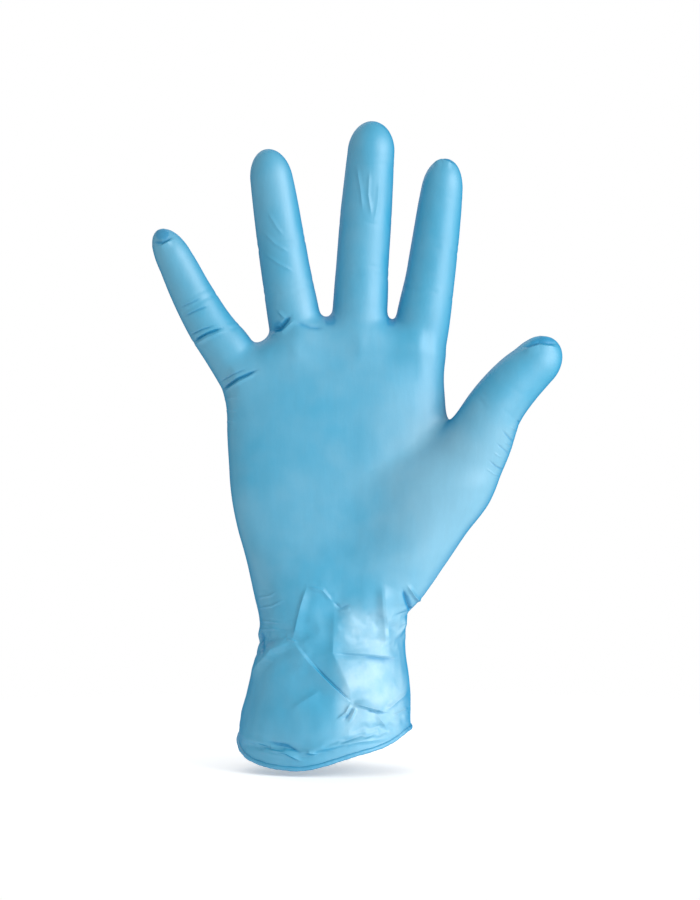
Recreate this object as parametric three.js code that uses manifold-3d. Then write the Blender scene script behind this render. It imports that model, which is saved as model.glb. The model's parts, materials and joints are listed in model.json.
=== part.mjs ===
// A disposable examination glove in its worn shape: one thin dipped film with a rolled bead at the cuff.
// Millimetres. +Z runs from the cuff to the fingertips, +X to the thumb side, and -Y is the palm side.
// The film is drawn in a drafting frame whose z = 0 is the level of the cuff's lowest edge, and the
// finished group is moved so that its origin is the centre of the flat face of the palm.
import * as THREE from "three";
import { mergeVertices } from "three/addons/utils/BufferGeometryUtils.js";
import Module from "manifold-3d";

const wasm = await Module();
wasm.setup();

// Driving dimensions

const FILM = 0.5; // wall thickness of the film as modelled
const GAP = 0.4; // clearance between neighbouring zones of film
const SPARE_DEG = 1.5; // extra opening of every fold gap, past half of the fold's range
const PALM_FACE = { x: 2, y: -13.2, z: 107 }; // centre of the flat stretched film across the palm
const PALM_FLAT = [66, 88]; // heights between which the film settles to the flat face

// Torso: the film from the cuff to the webs. Half widths reach from left to right, front is the palm side.
const TORSO = [
  { z: -4, left: -35, right: 29.6, front: 28.4, back: 28.4 },
  { z: 13, left: -34.7, right: 29.3, front: 27.8, back: 27.8 },
  { z: 25, left: -32.4, right: 29.2, front: 25.7, back: 25.2 },
  { z: 38, left: -29.4, right: 28.4, front: 22.5, back: 21.5 },
  { z: 49, left: -27, right: 27, front: 20, back: 19 },
  { z: 60, left: -27.8, right: 29.8, front: 19.5, back: 17.5 },
  { z: 72, left: -30.1, right: 36, front: 18, back: 15.5 },
  { z: 86, left: -34.2, right: 40, front: 16.2, back: 14.2 },
  { z: 100, left: -37.1, right: 42, front: 15, back: 13.6 },
  { z: 118, left: -38.5, right: 42.4, front: 14.4, back: 13.3 },
  { z: 137, left: -39.8, right: 41.4, front: 13.6, back: 13, tilt: 3 },
  { z: 148, left: -37.5, right: 42.6, front: 11.6, back: 11.8, tilt: 5 },
  { z: 157, left: -27.5, right: 40.5, front: 8.6, back: 8.6, tilt: 5 },
  { z: 162, left: -20, right: 36.5, front: 4.2, back: 4.2, tilt: 4 },
];
const TORSO_POINTS = 28; // points round one section
const TORSO_STEPS = 1; // sections made between two stations

// Fingers. root is the middle of the web line, lean is from upright towards the thumb, and reach is from the
// web line to the fingertip. half lists half widths at the web line, the last two creases and the pad, and
// pivot is how far past the web line the axis that the finger spreads on is.
const FINGERS = {
  index: { root: [32.6, 163], lean: 9.2, reach: 63.8, half: [10.2, 9.1, 8.5, 7.8], pivot: 3 },
  middle: { root: [9.8, 166.3], lean: 3.6, reach: 73.8, half: [10.2, 9.8, 9.5, 8.8], pivot: 2 },
  ring: { root: [-13.5, 162.4], lean: -9.9, reach: 68.1, half: [9.8, 9.2, 8.7, 8.0], pivot: 4 },
  little: { root: [-35, 149.8], lean: -31, reach: 58.1, half: [9.6, 8.4, 7.3, 6.8], pivot: 5 },
};
const FINGER_DEPTH = 0.88; // depth of a finger over its width
const FINGER_BURIED = 15; // how far a finger's tube starts below its web line
const FINGER_CURL = 6; // how far a relaxed fingertip leans to the palm side
const CREASES = { first: 0.17, second: 0.39, third: 0.68 }; // fold lines, as shares of the reach
const TIP_ROUND = 11; // length of the rounded end
const FINGER_POINTS = 12;
const FINGER_FOLDS = { first: [0, 50], second: [0, 90], third: [0, 65] }; // degrees, straight to fully bent

// Thumb: one tube that starts as the ball of the thumb inside the palm.
const THUMB = [
  { at: [22, -4, 70], half: 5, depth: 5 },
  { at: [30, -6, 80], half: 11.5, depth: 11.5 },
  { at: [38.5, -8, 93], half: 14, depth: 14 },
  { at: [45.8, -9.5, 106.2], half: 15, depth: 13.2 },
  { at: [53.4, -11, 119.6], half: 12, depth: 10.8 },
  { at: [58.4, -12, 129.6], half: 11.3, depth: 9.8 },
  { at: [63.9, -12.5, 138.8], half: 11, depth: 9.3 },
  { at: [70.4, -13, 146.8], half: 9.7, depth: 8.4 },
  { at: [75.4, -13, 151.5], half: 8.8, depth: 7.7 },
];
const THUMB_END = [82.6, -13, 157.2];
const THUMB_ROOT = { at: [53.4, -11, 119.6], lean: 29, half: 12, pivot: 3 };
const THUMB_FOLDS = [
  { at: [58.1, -12, 129], lean: 29, half: 11.3, range: [0, 40] },
  { at: [64.4, -12.5, 139.5], lean: 36, half: 10.9, range: [0, 65] },
];
const THUMB_PAD_TURN = 40; // the pad faces this far round from the palm's plane towards the palm side

// Cuff
const RIM = { x: -2.7, z: 13, halfX: 32, halfY: 28.2, tiltDeg: 21, rollDeg: -2.5 }; // the bead's own ellipse
const BEAD = 0.9; // radius of the rolled bead

// Folds of the torso
const WRIST_BEND = { at: [0, 0, 60], lean: 0, range: [-40, 40] };
const WRIST_TURN = { at: [0, 0, 36], range: [-20, 15] };
const PALM_FOLD = { at: [1.5, -6.5, 133.4], lean: -7.7, half: 43.2, range: [0, 40] };

const NITRILE = new THREE.MeshStandardMaterial({ color: 0x63b4de, roughness: 0.5, metalness: 0 });
const BEAD_NITRILE = new THREE.MeshStandardMaterial({ color: 0x4fa3d4, roughness: 0.45, metalness: 0 });

// Solids

const rad = THREE.MathUtils.degToRad;
const vec = (a) => new THREE.Vector3(...a);

function solid(geometry) {
  const bare = geometry.clone();
  bare.deleteAttribute("normal");
  bare.deleteAttribute("uv");
  const merged = mergeVertices(bare, 1e-4);
  return new wasm.Manifold(
    new wasm.Mesh({
      numProp: 3,
      vertProperties: new Float32Array(merged.attributes.position.array),
      triVerts: new Uint32Array(merged.index.array),
    }),
  );
}

function geometryOf(manifold) {
  const mesh = manifold.getMesh();
  const geometry = new THREE.BufferGeometry();
  geometry.setAttribute("position", new THREE.BufferAttribute(mesh.vertProperties.slice(), 3));
  geometry.setIndex(new THREE.BufferAttribute(mesh.triVerts.slice(), 1));
  return geometry;
}

// The frame of a zone that leans away from upright in the palm's plane.
function leaning(lean) {
  const along = new THREE.Vector3(Math.sin(rad(lean)), 0, Math.cos(rad(lean)));
  const across = new THREE.Vector3(Math.cos(rad(lean)), 0, -Math.sin(rad(lean)));
  return { along, across };
}

// One closed ring of points: a superellipse whose front half and back half have their own depths.
function ring({ centre, across, half, front, back, power, flatAt = -Infinity }, count) {
  return Array.from({ length: count }, (_, i) => {
    const angle = (2 * Math.PI * i) / count;
    const bend = (v) => Math.sign(v) * Math.abs(v) ** (2 / power);
    const depth = Math.sin(angle) < 0 ? front : back;
    const point = centre.clone().addScaledVector(across, half * bend(Math.cos(angle)));
    point.y = Math.max(point.y + depth * bend(Math.sin(angle)), flatAt);
    return point;
  });
}

// A closed body through rings with the same number of points, with a fan over each end.
function loft(rings) {
  const count = rings[0].length;
  const points = rings.flat();
  const ends = [rings[0], rings.at(-1)].map((r) =>
    r.reduce((sum, p) => sum.add(p), new THREE.Vector3()).divideScalar(count),
  );
  const first = points.length;
  const last = first + 1;
  points.push(...ends);
  const index = [];
  for (let i = 0; i < count; i++) {
    const next = (i + 1) % count;
    for (let r = 0; r < rings.length - 1; r++) {
      const [a, b] = [r * count + i, r * count + next];
      const [c, d] = [a + count, b + count];
      index.push(a, b, d, a, d, c);
    }
    const top = (rings.length - 1) * count;
    index.push(first, next, i, last, top + i, top + next);
  }
  return new THREE.BufferGeometry().setFromPoints(points).setIndex(index);
}

// A smooth curve through numbers, read at a share from 0 to 1 of the way along.
function along(values, share) {
  const curve = new THREE.CatmullRomCurve3(
    values.map((v, i) => new THREE.Vector3(i, v, 0)),
    false,
    "catmullrom",
    0.4,
  );
  return curve.getPoint(share).y;
}

function torso(inset) {
  const key = (name) => TORSO.map((s) => s[name] ?? 0);
  const steps = (TORSO.length - 1) * (TORSO_STEPS + 1);
  const rings = Array.from({ length: steps + 1 }, (_, i) => {
    const share = i / steps;
    const [z, left, right] = ["z", "left", "right"].map((k) => along(key(k), share));
    const { across } = leaning(-along(key("tilt"), share));
    const last = share === 1;
    return ring(
      {
        centre: new THREE.Vector3((left + right) / 2, 0, z - (last ? inset : 0)),
        across,
        half: (right - left) / 2 - inset,
        front: along(key("front"), share) - inset,
        back: along(key("back"), share) - inset,
        power: THREE.MathUtils.lerp(2, 2.5, THREE.MathUtils.smoothstep(z, 50, 90)),
        flatAt: PALM_FACE.y + inset - 30 * (1 - THREE.MathUtils.smoothstep(z, ...PALM_FLAT)),
      },
      TORSO_POINTS,
    );
  });
  return solid(loft(rings));
}

// Half width of a finger at a distance past its web line, before the rounded end.
function fingerHalf({ half, reach }, t) {
  const stations = [0, CREASES.second * reach, CREASES.third * reach, reach - TIP_ROUND];
  const curve = new THREE.SplineCurve(stations.map((s, i) => new THREE.Vector2(s, half[i])));
  const share = THREE.MathUtils.clamp(t / (reach - TIP_ROUND), 0, 1);
  let [low, high] = [0, 1];
  for (let i = 0; i < 20; i++) {
    const middle = (low + high) / 2;
    if (curve.getPoint(middle).x < share * (reach - TIP_ROUND)) low = middle;
    else high = middle;
  }
  return curve.getPoint(low).y;
}

// A finger's axis leans to the palm side towards the tip.
function fingerPoint({ root, lean, reach }, t) {
  const point = new THREE.Vector3(root[0], 0, root[1]).addScaledVector(leaning(lean).along, t);
  point.y = -FINGER_CURL * Math.max(t / reach, 0) ** 2;
  return point;
}

function finger(spec, inset) {
  const straight = [-FINGER_BURIED, -6, 3, 12, 22, 32, 42].filter((t) => t < spec.reach - TIP_ROUND - 3);
  const round = [0, 0.3, 0.55, 0.75, 0.9, 0.98];
  const { across } = leaning(spec.lean);
  const rings = straight.map((t) => [t, fingerHalf(spec, t)]);
  for (const share of round) {
    const t = spec.reach - TIP_ROUND + share * (TIP_ROUND - inset);
    rings.push([t, fingerHalf(spec, t) * Math.sqrt(1 - share ** 2)]);
  }
  return solid(
    loft(
      rings.map(([t, half]) =>
        ring(
          {
            centre: fingerPoint(spec, t),
            across,
            half: half - inset * Math.min(1, half / spec.half[3]),
            front: FINGER_DEPTH * half - inset * Math.min(1, half / spec.half[3]),
            back: FINGER_DEPTH * half - inset * Math.min(1, half / spec.half[3]),
            power: 2.1,
          },
          FINGER_POINTS,
        ),
      ),
    ),
  );
}

function thumb(inset) {
  const stations = THUMB.map((s) => ({ ...s, at: vec(s.at) }));
  const end = vec(THUMB_END);
  const before = stations.at(-1);
  for (const share of [0.4, 0.7, 0.9, 0.98]) {
    const shrink = Math.sqrt(1 - share ** 2);
    const length = 1 - inset / end.distanceTo(before.at);
    stations.push({
      at: before.at.clone().lerp(end, share * length),
      half: before.half * shrink,
      depth: before.depth * shrink,
    });
  }
  const rings = stations.map(({ at, half, depth }, i) => {
    const way = stations[Math.min(i + 1, stations.length - 1)].at.clone().sub(stations[Math.max(i - 1, 0)].at);
    const { across } = leaning(THREE.MathUtils.radToDeg(Math.atan2(way.x, way.z)));
    const less = inset * Math.min(1, half / before.half);
    return ring(
      { centre: at, across, half: half - less, front: depth - less, back: depth - less, power: 2.1 },
      FINGER_POINTS,
    );
  });
  return solid(loft(rings));
}

// The whole hand shape, drawn in by an inset.
function form(inset) {
  return Object.values(FINGERS).reduce((sum, spec) => sum.add(finger(spec, inset)), torso(inset)).add(thumb(inset));
}

// Cuts

// Moves a solid drawn in the (side, along, axis) frame to its place.
function placed(geometry, at, side, direction, axis) {
  const matrix = new THREE.Matrix4().makeBasis(side, direction, axis).setPosition(at);
  return solid(geometry.clone().applyMatrix4(matrix));
}

function prism(shape, halfLength) {
  return new THREE.ExtrudeGeometry(shape, { depth: 2 * halfLength, bevelEnabled: false }).translate(0, 0, -halfLength);
}

// The open gap of a fold. Its two wedges meet at the fold's axis, and each leaves half of the fold's range on
// both sides, so that the zones turn towards each other without touching.
function foldGap({ at, direction, axis, range, width, depth }) {
  const back = direction.clone().cross(axis);
  const rise = (degrees) => GAP / 2 + depth * Math.tan(rad(Math.abs(degrees) / 2 + (degrees ? SPARE_DEG : 0)));
  const [backRise, frontRise] = range.map(rise);
  const shape = new THREE.Shape(
    [
      [-depth, -frontRise],
      [0, -GAP / 2],
      [depth, -backRise],
      [depth, backRise],
      [0, GAP / 2],
      [-depth, frontRise],
    ].map((p) => new THREE.Vector2(...p)),
  );
  return placed(prism(shape, width), at, back, direction, axis);
}

// The round gap under a finger's root: half a ring about the axis that the finger spreads on.
function rootGap(at, lean, radius, depth) {
  const { along: direction, across } = leaning(lean);
  const shape = new THREE.Shape();
  shape.absarc(0, 0, radius + GAP, Math.PI, 2 * Math.PI, false);
  shape.lineTo(radius, 0);
  shape.absarc(0, 0, radius, 2 * Math.PI, Math.PI, true);
  const geometry = new THREE.ExtrudeGeometry(shape, { depth: 2 * depth, bevelEnabled: false, curveSegments: 8 });
  return placed(geometry.translate(0, 0, -depth), at, across, direction, across.clone().cross(direction));
}

// Every fold of a finger: where it is, its axis and its range. The axis lies halfway to the palm side.
function fingerFolds(spec) {
  const { along: direction, across } = leaning(spec.lean);
  return Object.entries(FINGER_FOLDS).map(([crease, range]) => {
    const t = CREASES[crease] * spec.reach;
    const half = fingerHalf(spec, t);
    const at = fingerPoint(spec, t);
    at.y -= 0.5 * FINGER_DEPTH * half;
    return { at, direction, axis: across, range, width: half + 1.3, depth: 16 };
  });
}

function thumbFold({ at, lean, half, range }) {
  const { along: direction, across } = leaning(lean);
  const turn = rad(THUMB_PAD_TURN);
  const pad = across.clone().multiplyScalar(-Math.cos(turn)).add(new THREE.Vector3(0, -Math.sin(turn), 0));
  const axis = direction.clone().cross(pad);
  return { at: vec(at).addScaledVector(pad, 0.5 * half), direction, axis, range, width: half + 2, depth: 17 };
}

const upright = leaning(0);
const folds = [
  { ...WRIST_BEND, at: vec(WRIST_BEND.at), direction: upright.along, axis: upright.across, width: 50, depth: 40 },
  {
    ...WRIST_TURN,
    at: vec(WRIST_TURN.at),
    direction: upright.along,
    axis: upright.along.clone().cross(upright.across),
    width: 40,
    depth: 50,
  },
  {
    ...PALM_FOLD,
    at: vec(PALM_FOLD.at),
    direction: leaning(PALM_FOLD.lean).along,
    axis: leaning(PALM_FOLD.lean).across,
    width: PALM_FOLD.half,
    depth: 26,
  },
  ...Object.values(FINGERS).flatMap(fingerFolds),
  ...THUMB_FOLDS.map(thumbFold),
];

const roots = Object.values(FINGERS).map((spec) => ({
  at: fingerPoint(spec, spec.pivot),
  lean: spec.lean,
  radius: spec.half[0] + 0.4,
}));
roots.push({
  at: vec(THUMB_ROOT.at).addScaledVector(leaning(THUMB_ROOT.lean).along, THUMB_ROOT.pivot),
  lean: THUMB_ROOT.lean,
  radius: THUMB_ROOT.half + 0.4,
});

// Turns a solid drawn about +Z into the rim's own plane, which drops to the palm side.
function atRim(geometry) {
  return solid(geometry.rotateX(rad(RIM.tiltDeg)).rotateY(rad(RIM.rollDeg)).translate(RIM.x, 0, RIM.z));
}

// Everything below the cuff's rim, with a lift to leave room for the bead.
function belowRim(lift) {
  return atRim(new THREE.BoxGeometry(200, 200, 100).translate(0, 0, lift - 50));
}

function bead() {
  const torus = new THREE.TorusGeometry(RIM.halfX, BEAD, 8, 44);
  return atRim(torus.scale(1, RIM.halfY / Math.cos(rad(RIM.tiltDeg)) / RIM.halfX, 1));
}

// Assembly

const film = [...folds.map(foldGap), ...roots.map((r) => rootGap(r.at, r.lean, r.radius, 40))].reduce(
  (rest, cut) => rest.subtract(cut),
  form(0).subtract(form(FILM)).subtract(belowRim(BEAD + GAP)),
);

// Where the middle of each zone of film lies, which is how its piece is told from the others.
const zones = {
  cuff_sleeve: [-2, 0, 26],
  wrist_band: [0, 0, 48],
  palm_shell: [8, 0, 98],
  knuckle_band: [2, 0, 147],
  thumb_root: [57, -11, 122],
  thumb_middle: [62, -12, 133],
  thumb_tip: [75, -13, 147],
};
for (const [name, spec] of Object.entries(FINGERS)) {
  const { first, second, third } = CREASES;
  const middles = { root: 0.04, lower: (first + second) / 2, middle: (second + third) / 2, tip: (third + 1) / 2 };
  for (const [part, share] of Object.entries(middles)) {
    zones[`${name}_${part}`] = fingerPoint(spec, share * spec.reach).toArray();
  }
}

const pieces = film.decompose();
const glove = new THREE.Group();
glove.name = "glove";
for (const [name, middle] of Object.entries(zones)) {
  const distance = (piece) => {
    const { min, max } = piece.boundingBox();
    return vec(min).add(vec(max)).divideScalar(2).distanceTo(vec(middle));
  };
  const piece = pieces.reduce((best, other) => (distance(other) < distance(best) ? other : best));
  const mesh = new THREE.Mesh(geometryOf(piece), NITRILE);
  mesh.name = name;
  glove.add(mesh);
}
const beadMesh = new THREE.Mesh(geometryOf(bead()), BEAD_NITRILE);
beadMesh.name = "cuff_bead";
glove.add(beadMesh);
glove.position.set(-PALM_FACE.x, -PALM_FACE.y, -PALM_FACE.z);

export default glove;
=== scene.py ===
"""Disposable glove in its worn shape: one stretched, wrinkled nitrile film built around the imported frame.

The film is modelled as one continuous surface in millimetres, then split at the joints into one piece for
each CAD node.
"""

import json
import math

import bmesh
import bpy
import numpy as np
import openvdb
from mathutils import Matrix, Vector, noise


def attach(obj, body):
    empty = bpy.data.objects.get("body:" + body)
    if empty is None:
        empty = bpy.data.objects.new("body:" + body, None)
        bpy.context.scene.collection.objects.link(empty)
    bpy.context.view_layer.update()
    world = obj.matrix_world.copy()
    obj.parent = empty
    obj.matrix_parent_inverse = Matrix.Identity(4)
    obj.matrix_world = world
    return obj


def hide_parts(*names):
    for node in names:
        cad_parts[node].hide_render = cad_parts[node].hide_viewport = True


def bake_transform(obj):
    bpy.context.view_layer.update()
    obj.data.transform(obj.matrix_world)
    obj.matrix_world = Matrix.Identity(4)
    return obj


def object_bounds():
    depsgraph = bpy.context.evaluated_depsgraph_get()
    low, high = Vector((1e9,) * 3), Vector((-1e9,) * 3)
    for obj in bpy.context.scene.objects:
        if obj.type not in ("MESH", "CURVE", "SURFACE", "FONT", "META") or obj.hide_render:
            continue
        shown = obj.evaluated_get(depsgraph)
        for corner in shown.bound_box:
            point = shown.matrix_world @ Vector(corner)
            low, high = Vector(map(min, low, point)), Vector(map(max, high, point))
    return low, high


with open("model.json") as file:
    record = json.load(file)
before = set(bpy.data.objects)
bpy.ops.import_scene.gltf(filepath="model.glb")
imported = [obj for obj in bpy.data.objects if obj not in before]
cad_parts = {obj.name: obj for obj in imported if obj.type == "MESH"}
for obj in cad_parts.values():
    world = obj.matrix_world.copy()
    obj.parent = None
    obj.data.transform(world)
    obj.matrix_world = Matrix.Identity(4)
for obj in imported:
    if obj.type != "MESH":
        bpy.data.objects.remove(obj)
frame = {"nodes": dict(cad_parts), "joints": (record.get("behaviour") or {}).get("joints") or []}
cad_lo, cad_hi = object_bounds()

MM = 0.001  # a millimetre in metres; the lengths that follow are in millimetres
FAR = 1000.0
VOXEL = 1.4  # spacing of the grid on which the film is first made
FILM = 0.3  # thickness of the film
BEAD = 0.85  # radius of the rolled edge
FINGERS = ("index", "middle", "ring", "little")
FINGER_PARTS, THUMB_PARTS = ("root", "lower", "middle", "tip"), ("root", "middle", "tip")

JOINTS = {j["name"]: j for j in frame["joints"]}
WRIST_HEIGHT = 36.0
# Origin of the frame used below: x and y from the wrist's axis, z from about the cuff's lowest edge.
BASE = np.array(JOINTS["wrist_turn"]["pos_m"]) / MM - [0, 0, WRIST_HEIGHT]


def joint_at(name):
    return np.array(JOINTS[name]["pos_m"]) / MM - BASE


def joint_axis(name):
    return np.array(JOINTS[name]["axis"], float)


def unit(v):
    return v / np.linalg.norm(v)


def unit_rows(v):
    return v / np.linalg.norm(v, axis=1)[:, None]


def to_row(p):
    """A point in millimetres as metres in the row frame."""
    return (np.asarray(p) + BASE) * MM


# ---------------- measuring the CAD

def cad_edges(*names):
    """End points of every edge of these nodes."""
    ends = []
    for n in names:
        mesh = frame["nodes"][n].data
        co = np.empty(len(mesh.vertices) * 3)
        mesh.vertices.foreach_get("co", co)
        pairs = np.empty(len(mesh.edges) * 2, np.int32)
        mesh.edges.foreach_get("vertices", pairs)
        ends.append((co.reshape(-1, 3) / MM - BASE)[pairs.reshape(-1, 2)])
    return np.concatenate(ends)


def cut(edges, at, normal):
    """Where a plane crosses the edges."""
    side = (edges - at) @ normal
    crossing = side[:, 0] * side[:, 1] < 0
    ends, side = edges[crossing], side[crossing]
    t = side[:, 0] / (side[:, 0] - side[:, 1])
    return ends[:, 0] + t[:, None] * (ends[:, 1] - ends[:, 0])


def span(values):
    return values.min(), values.max()


def smooth_profile(at, knots, values):
    """A smooth cubic curve through values at knots, held flat outside them."""
    knots, values = np.asarray(knots, float), np.asarray(values, float)
    slope = np.gradient(values, knots)
    at = np.clip(at, knots[0], knots[-1])
    i = np.clip(np.searchsorted(knots, at) - 1, 0, len(knots) - 2)
    h = knots[i + 1] - knots[i]
    t = (at - knots[i]) / h
    return (
        values[i] * (2 * t**3 - 3 * t**2 + 1)
        + slope[i] * h * (t**3 - 2 * t**2 + t)
        + values[i + 1] * (3 * t**2 - 2 * t**3)
        + slope[i + 1] * h * (t**3 - t**2)
    )


def smoothstep(a, b, x):
    """0 at a, 1 at b, smooth between; a may be above b."""
    t = np.clip((x - a) / (b - a), 0, 1)
    return t * t * (3 - 2 * t)


# ---------------- the hand's shape under the film

NEAR_LIMB = 12.0  # beyond this the distance to a limb isn't worked out


class Limb:
    """A rounded tube along a path: elliptical sections, with a rounded cap at each end."""

    def __init__(self, centres, halves, depths, side, start_cap, end_cap):
        centres = np.asarray(centres, float)
        knots = np.r_[0, np.cumsum(np.linalg.norm(np.diff(centres, axis=0), axis=1))]
        self.s = np.linspace(0, knots[-1], int(knots[-1]) + 2)
        self.c = np.stack([smooth_profile(self.s, knots, centres[:, k]) for k in range(3)], 1)
        self.a = smooth_profile(self.s, knots, halves)
        self.b = smooth_profile(self.s, knots, depths)
        self.t = unit_rows(np.gradient(self.c, self.s, axis=0))
        self.side = unit_rows(side - (self.t @ side)[:, None] * self.t)
        self.rise = np.cross(self.t, self.side)
        self.start_cap, self.end_cap = start_cap, end_cap
        reach = max(self.a.max(), self.b.max(), start_cap, end_cap) + NEAR_LIMB
        self.lo, self.hi = self.c.min(0) - reach, self.c.max(0) + reach

    def distance(self, p):
        """Distance from points to the tube's surface, negative inside."""
        out = np.full(len(p), FAR)
        near = np.all((p > self.lo) & (p < self.hi), axis=1)
        q = p[near]
        if not len(q):
            return out
        i = ((self.c**2).sum(1) - 2 * q @ self.c.T).argmin(1)
        s = self.s[i] + ((q - self.c[i]) * self.t[i]).sum(1)
        centre = np.stack([np.interp(s, self.s, self.c[:, k]) for k in range(3)], 1)
        a, b = np.interp(s, self.s, self.a), np.interp(s, self.s, self.b)
        off = q - centre
        u, v = (off * self.side[i]).sum(1), (off * self.rise[i]).sum(1)
        over = np.maximum(0, s - (self.s[-1] - self.end_cap))
        under = np.maximum(0, self.start_cap - s)
        cap = np.where(over > 0, self.end_cap, self.start_cap)
        w = np.maximum(over, under) / cap
        r = np.sqrt((u / a) ** 2 + (v / b) ** 2 + w**2)
        steep = np.sqrt((u / a**2) ** 2 + (v / b**2) ** 2 + (w / cap) ** 2) / np.maximum(r, 1e-6)
        out[near] = (r - 1) / np.maximum(steep, 1e-3)
        return out


def merge(d, e, k):
    """Smooth union over a width k."""
    h = np.maximum(k - np.abs(d - e), 0) / k
    return np.minimum(d, e) - h * h * k / 4


def section(edges, at, along, side):
    """Centre, half width and half depth of the CAD where a plane crosses it."""
    points = cut(edges, at, along)
    u0, u1 = span((points - at) @ side)
    v0, v1 = span(points[:, 1] - at[1])
    return at + side * (u0 + u1) / 2 + np.array([0, (v0 + v1) / 2, 0]), (u1 - u0) / 2, (v1 - v0) / 2


# How far each finger's middle and tip stray from a straight line, to its thumb side.
BOW = {"index": (0.4, -0.8), "middle": (-0.3, 0.35), "ring": (-0.2, 0.6), "little": (-1.5, 0.3)}
SECTION_SHARES = (0.1, 0.35, 0.7, 0.95, 1.0)  # where a finger's measured sections lie along that line
FINGER_SLIM = 0.98
FINGER_BURIED = 22.0  # how far a finger reaches back into the palm
ROOT_CAP, TIP_CAP = 8.0, 11.0


class Finger:
    """One finger's direction, joints along it, and its limb, all measured from its CAD nodes."""

    def __init__(self, name):
        self.side = joint_axis(f"{name}_first_bend")
        self.along = np.array([-self.side[2], 0, self.side[0]])
        self.spread = joint_at(f"{name}_spread")
        self.origin = self.spread.copy()
        self.t = [self.station(joint_at(f"{name}_{k}_bend")) for k in ("first", "second", "third")]
        edges = cad_edges(*(f"{name}_{k}" for k in FINGER_PARTS))
        end = ((edges.reshape(-1, 3) - self.origin) @ self.along).max()
        t1, t2, t3 = self.t
        stations = [0.5 * t1, 0.5 * (t1 + t2), 0.5 * (t2 + t3)]
        stations += [t3 + 0.3 * (end - t3), t3 + 0.52 * (end - t3)]
        sections = [section(edges, self.origin + s * self.along, self.along, self.side) for s in stations]
        centres, halves, depths = (list(values) for values in zip(*sections))
        middle_bow, tip_shift = BOW[name]
        for k, share in enumerate(SECTION_SHARES):
            bowed = centres[k] + self.side * middle_bow * math.sin(math.pi * share)
            centres[k] = bowed + self.side * tip_shift * share**2
        buried = centres[0] - FINGER_BURIED * self.along + np.array([0, 1.0, 0])
        tip = centres[-1] + (end - stations[-1]) * self.along + (centres[-1] - centres[-2]) * [0, 1.2, 0]
        centres = [buried] + centres + [tip]
        halves = [halves[0] * 1.02, halves[0]] + [h * FINGER_SLIM for h in halves[1:] + [halves[-1] * 0.97]]
        depths = [depths[0] * 0.92] + depths + [depths[-1] * 0.93]
        self.limb = Limb(centres, halves, depths, self.side, ROOT_CAP, TIP_CAP)

    def station(self, p):
        return (np.asarray(p) - self.origin) @ self.along


fingers = {name: Finger(name) for name in FINGERS}

# The palm, wrist and cuff, sliced across at the heights where each side of the CAD film is whole.
LEFT_AT = (13, 21, 29, 49, 57, 65, 73, 81, 89, 97, 105, 113, 121, 137)
RIGHT_AT = (17, 23, 29, 49, 57, 65, 73, 81, 89, 97, 105, 113, 121, 141, 149)
FRONT_AT = (9, 17, 25, 33, 41, 49, 69, 77, 85, 95, 105, 115, 125, 137, 145, 153)
BACK_AT = (25, 33, 41, 49, 69, 77, 85, 95, 105, 115, 125, 137, 145, 153)
BALL_FROM, BALL_TO = 65, 121  # heights between which the ball of the thumb hides the palm's right edge
BALL_CLEAR = 6.0
BALL_MARGIN = 1.2
MIDDLE_X, MIDDLE_REACH = -4.0, 13.0
torso_edges = cad_edges("cuff_sleeve", "wrist_band", "palm_shell", "knuckle_band")


def slice_at(z):
    return cut(torso_edges, np.array([0, 0, z]), np.array([0, 0, 1.0]))


def right_side(points, z):
    """The palm's right edge; beside the ball of the thumb it is found at the back, clear of the ball."""
    if z <= BALL_FROM or z >= BALL_TO:
        return points[:, 0].max()
    return points[points[:, 1] > BALL_CLEAR][:, 0].max() + BALL_MARGIN


def near_middle(points):
    return points[np.abs(points[:, 0] - MIDDLE_X) < MIDDLE_REACH][:, 1]


# By height: how far the film stands off the CAD at its left side, and is drawn in at its right.
STANDS_OFF = ((13, 21, 29, 40, 49, 65, 81, 105, 137), (0.3, 0.6, 0.5, 0.5, 0.9, 0.9, 0.1, 0.4, 0))
DRAWN_IN = ((17, 23, 35, 49, 60, 67, 80), (0.7, 0.7, 0.4, 0, 1.1, 1.1, 0))
left_profile = np.array([slice_at(z)[:, 0].min() for z in LEFT_AT])
right_profile = np.array([right_side(slice_at(z), z) for z in RIGHT_AT])
left_profile -= np.interp(LEFT_AT, *STANDS_OFF)
right_profile -= np.interp(RIGHT_AT, *DRAWN_IN)
front_profile = np.array([-near_middle(slice_at(z)).min() for z in FRONT_AT])
back_profile = np.array([near_middle(slice_at(z)).max() for z in BACK_AT])

# The palm's top edge runs through the fingers' roots and falls away at both ends.
SHOULDER = 24.0
CROWN_BELOW = 4.5  # how far the edge lies below the spread hinges
CROWN_LEFT, CROWN_RIGHT = (-8, -9), (9, -3)  # its ends, from the outermost hinges in x and z
crown = sorted((*fingers[n].spread[[0, 2]],) for n in FINGERS)
crown_x = np.array([p[0] for p in crown])
crown_z = np.array([p[1] for p in crown]) - CROWN_BELOW
crown_x = np.r_[crown_x[0] + CROWN_LEFT[0], crown_x, crown_x[-1] + CROWN_RIGHT[0]]
crown_z = np.r_[crown_z[0] + CROWN_LEFT[1], crown_z, crown_z[-1] + CROWN_RIGHT[1]]


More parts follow.
